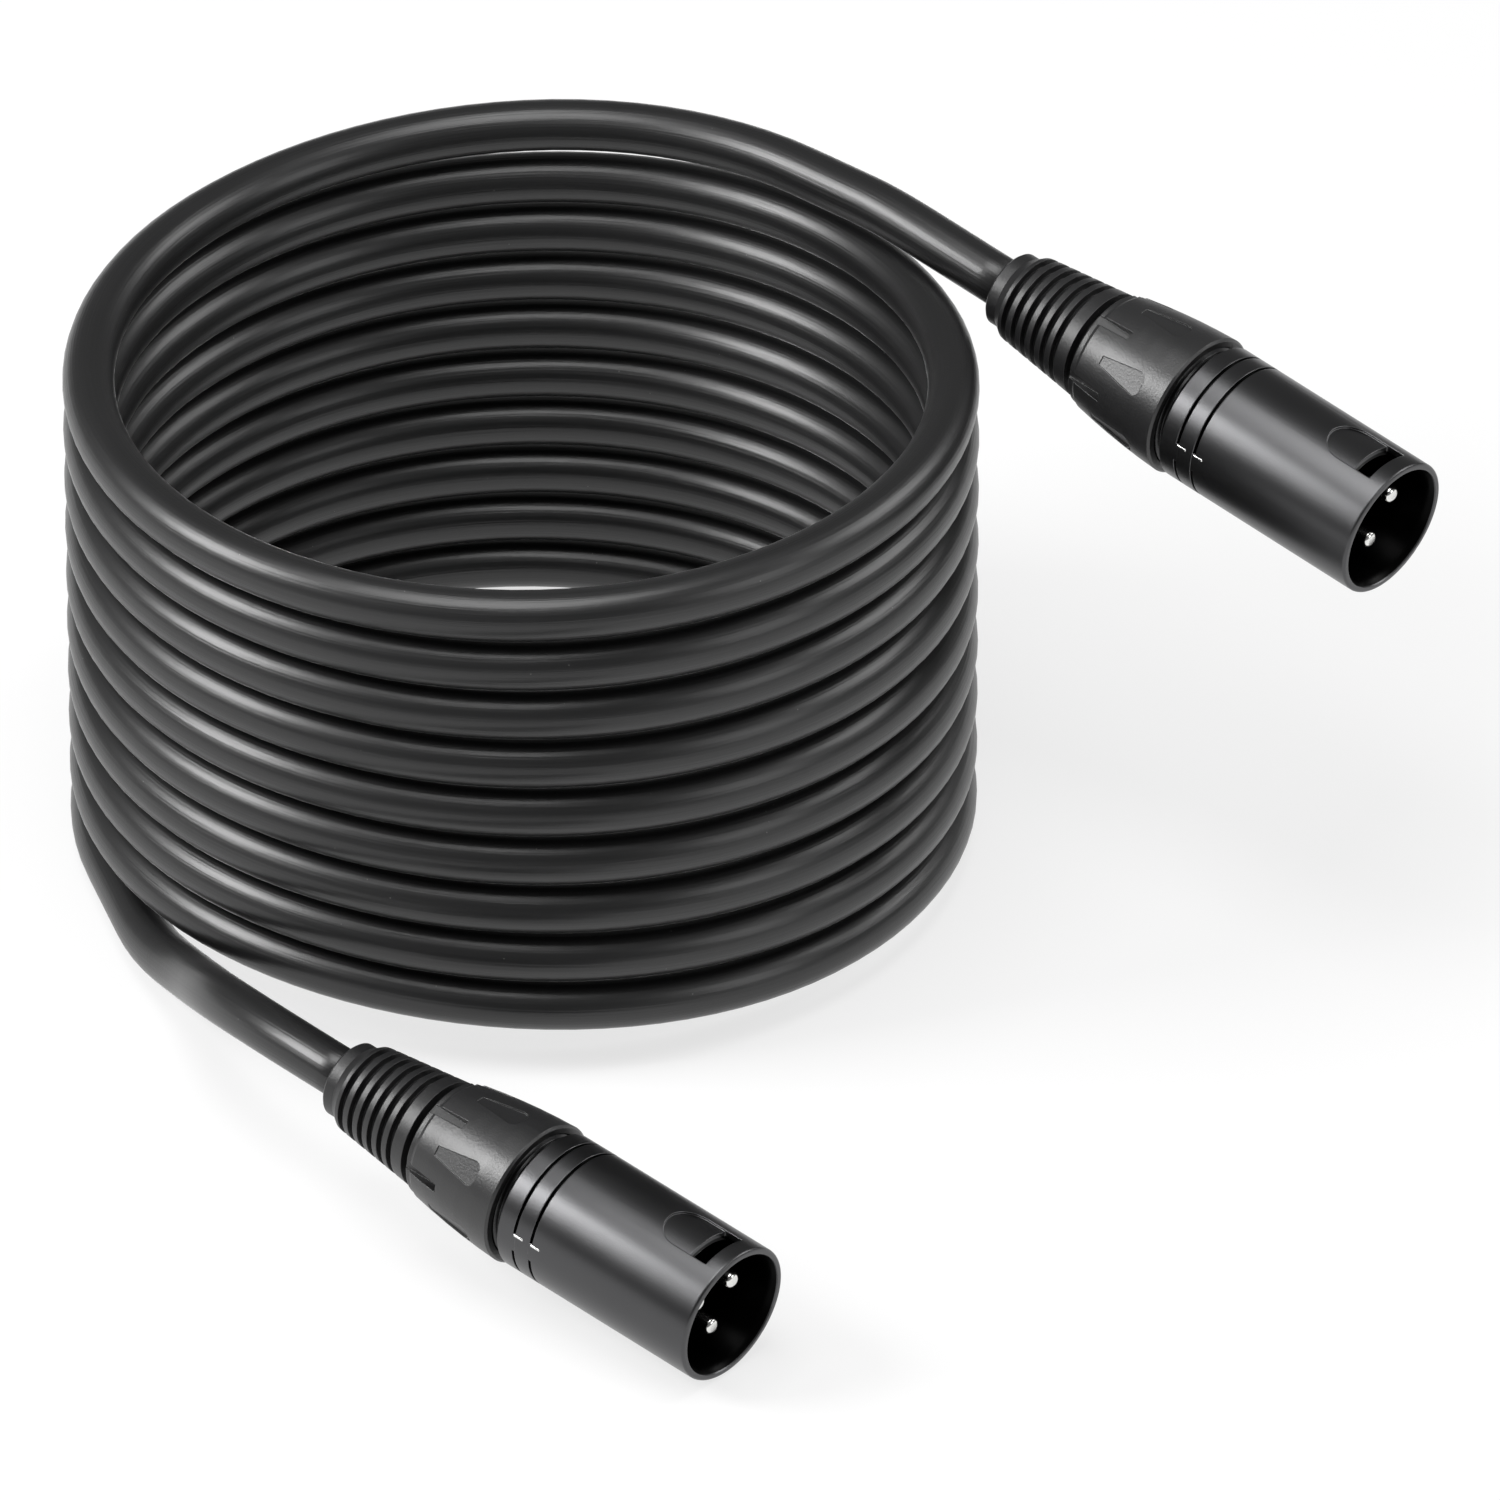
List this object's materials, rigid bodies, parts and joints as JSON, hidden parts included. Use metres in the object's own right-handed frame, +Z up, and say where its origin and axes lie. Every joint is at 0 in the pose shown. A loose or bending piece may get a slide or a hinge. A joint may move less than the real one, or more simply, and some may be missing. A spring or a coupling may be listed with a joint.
{
  "type": "xlr microphone cable coil",
  "caption": "Black microphone cable wound into one tidy coil, with a male XLR plug on each end, ribbed boots and turning gland nuts.",
  "frame": {"origin": "on the floor, at the middle of the bounding box of the two plugs; the coil stands on the same floor beside them", "axes": "+X is the way both plugs point, +Y runs from the lower plug to the upper one, +Z up"},
  "size_m": [0.164, 0.1524, 0.077],
  "materials": {
    "cable_jacket": "matt black flexible jacket with a soft sheen",
    "shell_metal": "satin black coated die-cast metal",
    "nut_plastic": "matt black moulded plastic",
    "boot_rubber": "matt black moulded rubber",
    "insert_plastic": "matt black moulded contact carrier",
    "pin_silver": "silver-plated turned contacts",
    "strip_brass": "tinned strip",
    "chuck_plastic": "natural grey nylon",
    "core_white": "white insulated core with a soldered tip",
    "core_red": "red insulated core with a soldered tip",
    "shield_copper": "twisted copper shield"
  },
  "bodies": {
    "cable": {"cable_coil": "cable_jacket", "upper_tail": "cable_jacket", "lower_tail": "cable_jacket", "upper_shell": "shell_metal", "upper_insert": "insert_plastic", "upper_pin_1": "pin_silver", "upper_pin_2": "pin_silver", "upper_pin_3": "pin_silver", "upper_ground_strip": "strip_brass", "upper_chuck": "chuck_plastic", "upper_held_cable": "cable_jacket", "upper_shield_wire": "shield_copper", "upper_conductor_2": "core_white", "upper_conductor_3": "core_red", "lower_shell": "shell_metal", "lower_insert": "insert_plastic", "lower_pin_1": "pin_silver", "lower_pin_2": "pin_silver", "lower_pin_3": "pin_silver", "lower_ground_strip": "strip_brass", "lower_chuck": "chuck_plastic", "lower_held_cable": "cable_jacket", "lower_shield_wire": "shield_copper", "lower_conductor_2": "core_white", "lower_conductor_3": "core_red"},
    "upper_boot_body": {"upper_boot": "boot_rubber"},
    "upper_nut_body": {"upper_nut": "nut_plastic"},
    "lower_boot_body": {"lower_boot": "boot_rubber"},
    "lower_nut_body": {"lower_nut": "nut_plastic"}
  },
  "joints": [
    {"name": "upper_boot_slide", "type": "slide", "parent": "cable", "child": "upper_boot_body", "axis": [-0.9893, 0, 0.1461], "range_m": [0, 0.00438]},
    {"name": "upper_nut_turn", "type": "hinge", "parent": "upper_boot_body", "child": "upper_nut_body", "pos_m": [-0.01718, 0.06635, 0.06854], "axis": [-0.9893, 0, 0.1461], "range_deg": [0, 1260]},
    {"name": "lower_boot_slide", "type": "slide", "parent": "cable", "child": "lower_boot_body", "axis": [-0.9945, 0, 0.1045], "range_m": [0, 0.00438]},
    {"name": "lower_nut_turn", "type": "hinge", "parent": "lower_boot_body", "child": "lower_nut_body", "pos_m": [-0.01469, -0.06635, 0.01453], "axis": [-0.9945, 0, 0.1045], "range_deg": [0, 1260]}
  ],
  "couplings": [
    {"joint": "upper_boot_slide", "follows": "upper_nut_turn", "m_per_rad": 0.00019894},
    {"joint": "lower_boot_slide", "follows": "lower_nut_turn", "m_per_rad": 0.00019894}
  ]
}
